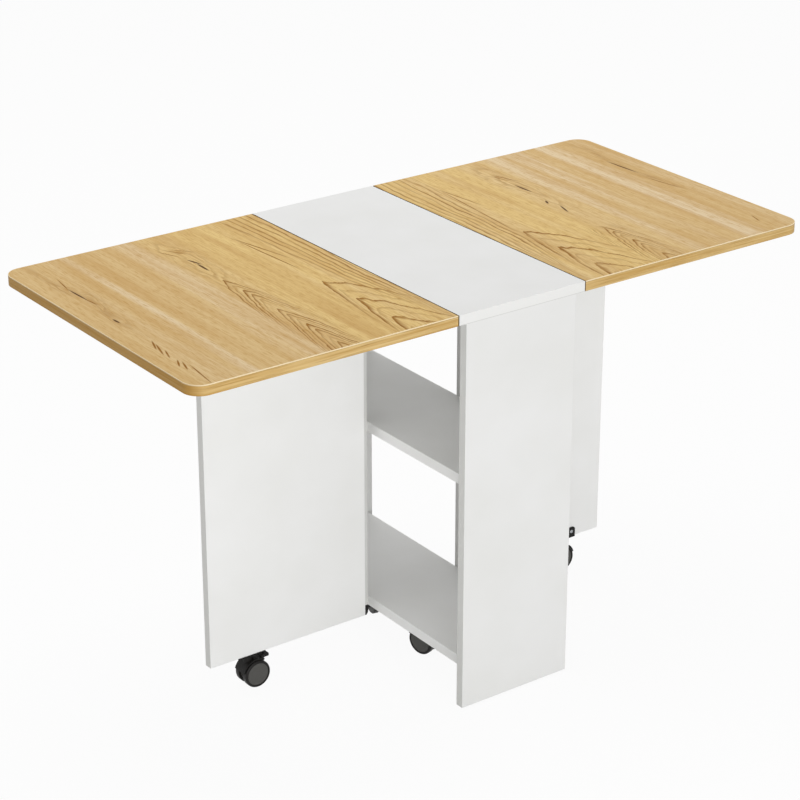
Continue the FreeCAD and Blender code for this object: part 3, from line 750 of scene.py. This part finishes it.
# %% [markdown]
# ## White melamine board
#
# The cabinet, the gates and the middle of the top are chipboard under white melamine paper. The press
# plate leaves a fine pearl texture, and the white is a neutral one with the faintest cloudiness. A flat
# colour would look like paper, so two scales of noise stir the tone, the gloss and the relief. The shelves
# and gates get a brighter copy of the white, painted light, and the posts a duller one, painted shade.
# Gates and end panels are painted duller on their upright edges: painted shade on the faces that look
# along X. The edge of the top carries a band too, with a fine dark seam where the top lies on the end
# panels. The seam is drawn wider than the real one, so that it shows.

# %% White melamine material
CLOUD_SIZE = 120.0
# The pearl is about 0.3 mm across; it is drawn at 1.5 mm so that it shows close up
PEARL_SIZE = 1.5
PEARL_RELIEF = 0.03
PEARL_ROUGH = (0.40, 0.50)
SEAM_LINE = 1.5
SEAM_STRENGTH = 0.6
TONE_LOW, TONE_HIGH = 0.3, 0.7
top_edge = linear("#ECECEA")
seam_grey = linear("#A5A4A0")


def white_melamine(name, tones, side=None, seam_height=None):
    """Pearl-textured white, with a soft wide sheen; side colours the faces that look along X."""
    material, tree = new_material(name)
    spots = add(tree, "ShaderNodeTexCoord")
    place = spots.outputs["Object"]
    cloud = add(tree, "ShaderNodeTexNoise", {
        "Vector": place, "Scale": 1 / (CLOUD_SIZE * MM), "Detail": 2.0})
    tone = add(tree, RANGE, {"Value": cloud, "From Min": TONE_LOW, "From Max": TONE_HIGH})
    white_tone = add(tree, MIX, {
        "Factor": tone, "A": linear(tones[0]), "B": linear(tones[1])}, data_type="RGBA")
    facing = add(tree, "ShaderNodeSeparateXYZ", {0: spots.outputs["Normal"]})
    layers = []
    if seam_height is not None:
        level = add(tree, MATH, {0: facing.outputs["Z"]}, operation="ABSOLUTE")
        upright = add(tree, MATH, {0: level, 1: FACING}, operation="LESS_THAN")
        up = add(tree, "ShaderNodeSeparateXYZ", {0: place}).outputs["Z"]
        seam = add(tree, RANGE, {
            "Value": up, "From Min": seam_height * MM, "From Max": (seam_height + SEAM_LINE) * MM,
            "To Min": SEAM_STRENGTH, "To Max": 0.0})
        seam = add(tree, MATH, {0: seam, 1: upright}, operation="MULTIPLY")
        layers += [(upright, top_edge), (seam, seam_grey)]
    # side: painted shade on the white boards' upright edges; raw chipboard on the top's joint sides
    if side is not None:
        layers.append((upright_side(tree, facing), side))
    for share, colour in layers:
        white_tone = add(tree, MIX, {"Factor": share, "A": white_tone, "B": colour}, data_type="RGBA")
    pearl = add(tree, "ShaderNodeTexNoise", {
        "Vector": place, "Scale": 1 / (PEARL_SIZE * MM), "Detail": 1.0})
    gloss = add(tree, RANGE, {"Value": pearl, "To Min": PEARL_ROUGH[0], "To Max": PEARL_ROUGH[1]})
    relief = add(tree, "ShaderNodeBump", {
        "Strength": 0.10, "Distance": PEARL_RELIEF * MM, "Height": pearl})
    shader = add(tree, "ShaderNodeBsdfPrincipled", {
        "Base Color": white_tone, "Roughness": gloss, "Normal": relief, "IOR": MELAMINE_IOR})
    add(tree, "ShaderNodeOutputMaterial", {"Surface": shader})
    return material


print("pearl drawn", PEARL_SIZE, "mm across, clouds", CLOUD_SIZE, "mm")

# %% The whites of the boards
TOP_UNDERSIDE = 707.0
plain_white = ("#E6E6E4", "#EAEAE9")
# painted light: a brighter copy of the white for the shaded shelves and the gates under the leaves
painted_light_white = ("#F0F0EE", "#F4F4F3")
# painted shade: a duller copy of the white for the posts in the bays
painted_shade_white = ("#D3D3D0", "#D9D9D7")
# painted shade: the duller white on the upright edges that look along X
white_edge_painted_shade = linear("#D8D8D5")
white_board_painted_edge_shade = white_melamine("white_melamine", plain_white, white_edge_painted_shade)
white_shelf_painted_light = white_melamine("painted_light_white_melamine", painted_light_white)
white_gate_painted_light = white_melamine("painted_light_white_melamine_with_painted_shade_edges", painted_light_white, white_edge_painted_shade)
white_post_painted_shade = white_melamine("painted_shade_white_melamine", painted_shade_white)
white_top = white_melamine("white_melamine_with_edge_band", plain_white, raw_chipboard, TOP_UNDERSIDE)
for board, finish in (("panels", white_board_painted_edge_shade), ("shelves", white_shelf_painted_light), ("gates", white_gate_painted_light),
                      ("posts", white_post_painted_shade), ("top", white_top)):
    print(board, "in", finish.name)

# %% [markdown]
# ## Metals and moulded plastics
#
# The remaining finishes differ only in a few facts: two colours that a noise mixes, the size of that
# noise, how rough the surface is, how deep its relief is, and whether it is metal. One function takes
# those facts. Steel parts are plated, brackets are powder coated, and the casters are moulded nylon with
# a fine spark texture from the mould. That texture scatters the mirror part of the light, so black parts
# get a low specular level and stay black in front of a white studio.

# %% Metals and plastics
SPARK_SPECULAR = 0.18


def mottled(name, dark, light, grain_mm, rough, relief_mm, metal=0.0, specular=0.5,
            stretch=(1.0, 1.0, 1.0)):
    """A finish whose two tones are mixed by noise of a real size; rough is a low and a high value."""
    material, tree = new_material(name)
    place = add(tree, "ShaderNodeTexCoord").outputs["Object"]
    place = add(tree, "ShaderNodeVectorMath", {0: place, 1: stretch}, operation="MULTIPLY")
    speckle = add(tree, "ShaderNodeTexNoise", {
        "Vector": place, "Scale": 1 / (grain_mm * MM), "Detail": 3.0})
    tone = add(tree, RANGE, {"Value": speckle, "From Min": TONE_LOW, "From Max": TONE_HIGH})
    colour = add(tree, MIX, {"Factor": tone, "A": linear(dark), "B": linear(light)}, data_type="RGBA")
    gloss = add(tree, RANGE, {
        "Value": speckle, "From Min": TONE_LOW, "From Max": TONE_HIGH, "To Min": rough[0],
        "To Max": rough[1]})
    relief = add(tree, "ShaderNodeBump", {
        "Strength": 0.25, "Distance": relief_mm * MM, "Height": speckle})
    shader = add(tree, "ShaderNodeBsdfPrincipled", {
        "Base Color": colour, "Roughness": gloss, "Normal": relief, "Metallic": metal,
        "Specular IOR Level": specular})
    add(tree, "ShaderNodeOutputMaterial", {"Surface": shader})
    return material


# rolled and nickel plated: a warm, bright sheen, drawn out along the hinge
nickel_steel = mottled("nickel_plated_steel", "#A9A8A3", "#C9C8C3", grain_mm=3.0, rough=(0.22, 0.34),
                       relief_mm=0.02, metal=1.0, stretch=(1.0, 0.08, 1.0))
# zinc plated: a cooler and cloudier sheen than nickel
zinc_steel = mottled("zinc_plated_steel", "#9EA1A4", "#BFC2C4", grain_mm=2.0, rough=(0.26, 0.40),
                     relief_mm=0.02, metal=1.0)
# die cast: a dull grey skin, as it comes from the die
zinc_cast = mottled("die_cast_zinc", "#8E8F90", "#A6A7A8", grain_mm=2.5, rough=(0.40, 0.55),
                    relief_mm=0.04, metal=1.0)
# powder coated white: even and smooth, a little glossier than the boards
white_steel = mottled("white_coated_steel", "#DAD9D6", "#E4E3E1", grain_mm=4.0, rough=(0.34, 0.44),
                      relief_mm=0.02)
# powder coated black: matt, with a slight orange-peel surface
black_coat = mottled("black_powder_coat", "#121110", "#1D1C1B", grain_mm=1.2, rough=(0.50, 0.64),
                     relief_mm=0.05, specular=SPARK_SPECULAR)
# moulded against a spark-eroded mould: black with a soft, broad highlight
black_nylon = mottled("black_moulded_nylon", "#141312", "#1F1E1C", grain_mm=0.9, rough=(0.40, 0.55),
                      relief_mm=0.04, specular=SPARK_SPECULAR)
# moulded without pigment: milky white
pad_nylon = mottled("natural_nylon", "#D8D6CE", "#E2E0DA", grain_mm=1.5, rough=(0.42, 0.52),
                    relief_mm=0.03)
# turned and left bare: pale brown and dry, with fine lengthwise grain
beech = mottled("plain_beech", "#C09A6A", "#D2B184", grain_mm=1.4, rough=(0.55, 0.70), relief_mm=0.05,
                stretch=(1.0, 0.1, 0.1))
print("finishes:", len(bpy.data.materials))

# %% [markdown]
# ## Two-tone caster wheels
#
# A caster wheel is moulded in two shots of nylon: a black tread with its rim, and a grey disc inside the
# groove. Two objects would do, but the groove is already in the solid, so the tone can follow the
# distance from the axle. The joint that a pair of wheels rolls on gives the axle's place and direction,
# and the cross product of the direction with the way from that place is as long as the distance.

# %% Wheel material
tread_dark, tread_light = linear("#100F0E"), linear("#201E1C")
disc_dark, disc_light = linear("#494846"), linear("#575653")
DISC_RADIUS = 20.4
DISC_BORDER = 0.2
# The mould's spark texture is finer than 0.1 mm; it is drawn at 1 mm so that it shows close up
SPARK_SIZE = 1.0
SPARK_RELIEF = 0.03
WHEEL_ROUGH = (0.34, 0.50)
NYLON_IOR = 1.53


def two_shot_wheel(name, axle, way):
    """Black nylon tread with a grey disc, both with a soft highlight; axle and way in metres."""
    material, tree = new_material(name)
    place = add(tree, "ShaderNodeTexCoord").outputs["Object"]
    arm = add(tree, "ShaderNodeVectorMath", {0: place, 1: axle}, operation="SUBTRACT")
    swept = add(tree, "ShaderNodeVectorMath", {0: arm, 1: way}, operation="CROSS_PRODUCT")
    away = add(tree, "ShaderNodeVectorMath", {0: swept}, operation="LENGTH").outputs["Value"]
    disc = add(tree, RANGE, {
        "Value": away, "From Min": DISC_RADIUS * MM, "From Max": (DISC_RADIUS + DISC_BORDER) * MM,
        "To Min": 1.0, "To Max": 0.0})
    spark = add(tree, "ShaderNodeTexNoise", {
        "Vector": place, "Scale": 1 / (SPARK_SIZE * MM), "Detail": 2.0})
    black = add(tree, MIX, {"Factor": spark, "A": tread_dark, "B": tread_light}, data_type="RGBA")
    grey = add(tree, MIX, {"Factor": spark, "A": disc_dark, "B": disc_light}, data_type="RGBA")
    tone = add(tree, MIX, {"Factor": disc, "A": black, "B": grey}, data_type="RGBA")
    gloss = add(tree, RANGE, {"Value": spark, "To Min": WHEEL_ROUGH[0], "To Max": WHEEL_ROUGH[1]})
    relief = add(tree, "ShaderNodeBump", {
        "Strength": 0.2, "Distance": SPARK_RELIEF * MM, "Height": spark})
    shader = add(tree, "ShaderNodeBsdfPrincipled", {
        "Base Color": tone, "Roughness": gloss, "Normal": relief, "IOR": NYLON_IOR,
        "Specular IOR Level": SPARK_SPECULAR})
    add(tree, "ShaderNodeOutputMaterial", {"Surface": shader})
    return material


wheel_finishes = {}
for joint in frame["joints"]:
    if joint["name"].endswith("_roll"):
        wheels = joint["name"].replace("_roll", "_wheels")
        wheel_finishes[wheels] = two_shot_wheel("two_shot_nylon_" + wheels, joint["pos_m"], joint["axis"])
print(len(wheel_finishes), "pairs of wheels, with discs of", 2 * DISC_RADIUS, "mm")

# %% [markdown]
# ## Finishes on the solids
#
# Each solid takes a finish by what it is. A table of all the nodes would do, but their names already say
# what they are, so a short list of words, tried in order, is enough.

# %% Give every solid its finish
finish_by_word = [
    ("leaf_edge_band", elm_band), ("leaf_hinge", nickel_steel), ("gate_hinge_pin", zinc_steel),
    ("gate_hinge", white_steel), ("rest_pads", pad_nylon), ("dowels", beech), ("cam_locks", zinc_cast),
    ("plates", black_coat), ("bracket", black_coat), ("kingpin", zinc_steel), ("axle", zinc_steel),
    ("hood", black_nylon), ("pedal", black_nylon), ("_leaf", elm_print), ("_shelf", white_shelf_painted_light),
    ("gate_panel", white_gate_painted_light), ("hinge_post", white_post_painted_shade), ("centre_top", white_top),
]
for name, solid in nodes.items():
    finish = next((made for word, made in finish_by_word if word in name), white_board_painted_edge_shade)
    finish = wheel_finishes.get(name, finish)
    solid.data.materials.clear()
    solid.data.materials.append(finish)
print("dressed", len(nodes), "solids")

# %% [markdown]
# ## Screws
#
# Hinges, plates and brackets are held by small pan-head screws with a cross recess. A plain dome would do
# from afar; here a polar grid of points is bent into the head, and the points inside the cross are pushed
# down, which gives a real recess with few faces. Each screw sits on the face it holds, and the shank,
# hidden in the board, is left out.

# %% One screw head
HEAD_RINGS = 9
HEAD_SPOKES = 32
# how far the foot of the head lies inside the face, in millimetres
SEAT = 0.15
# shares of the head's radius
HEAD_HEIGHT = 0.55
CROSS_ARM = 0.62
CROSS_SLOT = 0.15
# shares of the head's height, and how much the dome falls towards its rim
RECESS_FLOOR = 0.45
RECESS_RISE = 0.3
DOME_FALL = 0.75


def screw_head(name, place, facing, radius, body):
    """Pan head with a cross recess, seated on a face; place in millimetres, facing out of the face."""
    height = HEAD_HEIGHT * radius
    mesh = bmesh.new()
    middle = mesh.verts.new((0.0, 0.0, RECESS_FLOOR * height))
    rings = []
    for step in range(1, HEAD_RINGS + 1):
        share = step / HEAD_RINGS
        ring = []
        for spoke in range(HEAD_SPOKES):
            angle = 2 * math.pi * spoke / HEAD_SPOKES
            x = radius * share * math.cos(angle)
            y = radius * share * math.sin(angle)
            level = height * math.sqrt(1.0 - DOME_FALL * share ** 4)
            short, long = sorted((abs(x), abs(y)))
            if short < CROSS_SLOT * radius and long < CROSS_ARM * radius:
                level = RECESS_FLOOR * height + RECESS_RISE * height * share
            ring.append(mesh.verts.new((x, y, level)))
        rings.append(ring)
    foot = [mesh.verts.new((v.co.x, v.co.y, -SEAT)) for v in rings[-1]]
    rings.append(foot)
    for spoke in range(HEAD_SPOKES):
        after = (spoke + 1) % HEAD_SPOKES
        mesh.faces.new((middle, rings[0][spoke], rings[0][after]))
        for inner, outer in zip(rings, rings[1:]):
            mesh.faces.new((inner[spoke], outer[spoke], outer[after], inner[after]))
    mesh.faces.new(list(reversed(foot)))
    turn = Vector((0.0, 0.0, 1.0)).rotation_difference(Vector(facing)).to_matrix().to_4x4()
    mesh.transform(Matrix.Translation(Vector(place) * MM) @ turn @ Matrix.Scale(MM, 4))
    data = bpy.data.meshes.new(name)
    mesh.to_mesh(data)
    mesh.free()
    data.materials.append(zinc_steel)
    head = bpy.data.objects.new(name, data)
    scene.collection.objects.link(head)
    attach(head, body)


print("screw head:", HEAD_RINGS * HEAD_SPOKES, "points")

# %% [markdown]
# ## Where the screws sit
#
# Each flap of a leaf hinge has three screws, each plate of a shelf caster has four, and each gate bracket
# has two. The sides and ends of the table mirror each other, so nested loops place them all. Plates and
# brackets are found by asking the model for their boxes.

# %% Screws of the leaf hinges, the shelf plates and the gate brackets
LEAF_PIVOT = 130.0
HINGE_HALF_SPREAD = 195.0
FLAP_FACE = 705.4
FLAP_SCREWS = ((14.0, -24.0), (14.0, 24.0), (27.0, 0.0))
FLAP_HEAD = 3.4
PLATE_HALF = 23.0
PLATE_FACE = 65.5
PLATE_SCREW = 17.0
PLATE_CORNERS = ((-1, -1), (1, -1), (-1, 1), (1, 1))
PLATE_HEAD = 3.2
BRACKET_SCREW = 14.0
BRACKET_SCREW_DROP = 8.0
DOWN = (0, 0, -1)

plates_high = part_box("shelf_caster_plates")[1]
shelf_caster = [plates_high[axis] / MM - PLATE_HALF for axis in (0, 1)]
screws = 0
for hand, side in (("left", -1), ("right", 1)):
    for end, end_name in ((-1, "front"), (1, "rear")):
        for body, flap, way in ((hand + "_leaf", "moving", 1), ("cabinet", "fixed", -1)):
            for index, (across, down) in enumerate(FLAP_SCREWS):
                place = (side * (LEAF_PIVOT + way * across), end * HINGE_HALF_SPREAD + down, FLAP_FACE)
                name = "%s_%s_%s_flap_screw_%d" % (hand, end_name, flap, index)
                screw_head(name, place, DOWN, FLAP_HEAD, body)
                screws += 1
        for index, (across, down) in enumerate(PLATE_CORNERS):
            place = (side * shelf_caster[0] + across * PLATE_SCREW,
                     end * shelf_caster[1] + down * PLATE_SCREW, PLATE_FACE)
            name = "%s_%s_plate_screw_%d" % (end_name, hand, index)
            screw_head(name, place, DOWN, PLATE_HEAD, "cabinet")
            screws += 1
    low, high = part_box(hand + "_gate_caster_bracket")
    face = high[1] if side < 0 else low[1]
    for index, across in enumerate((-1, 1)):
        x = (low[0] + high[0]) / 2 / MM + across * BRACKET_SCREW
        place = (x, face / MM, high[2] / MM - BRACKET_SCREW_DROP)
        name = "%s_bracket_screw_%d" % (hand, index)
        screw_head(name, place, (0, -side, 0), PLATE_HEAD, hand + "_gate")
        screws += 1
print("screws:", screws)
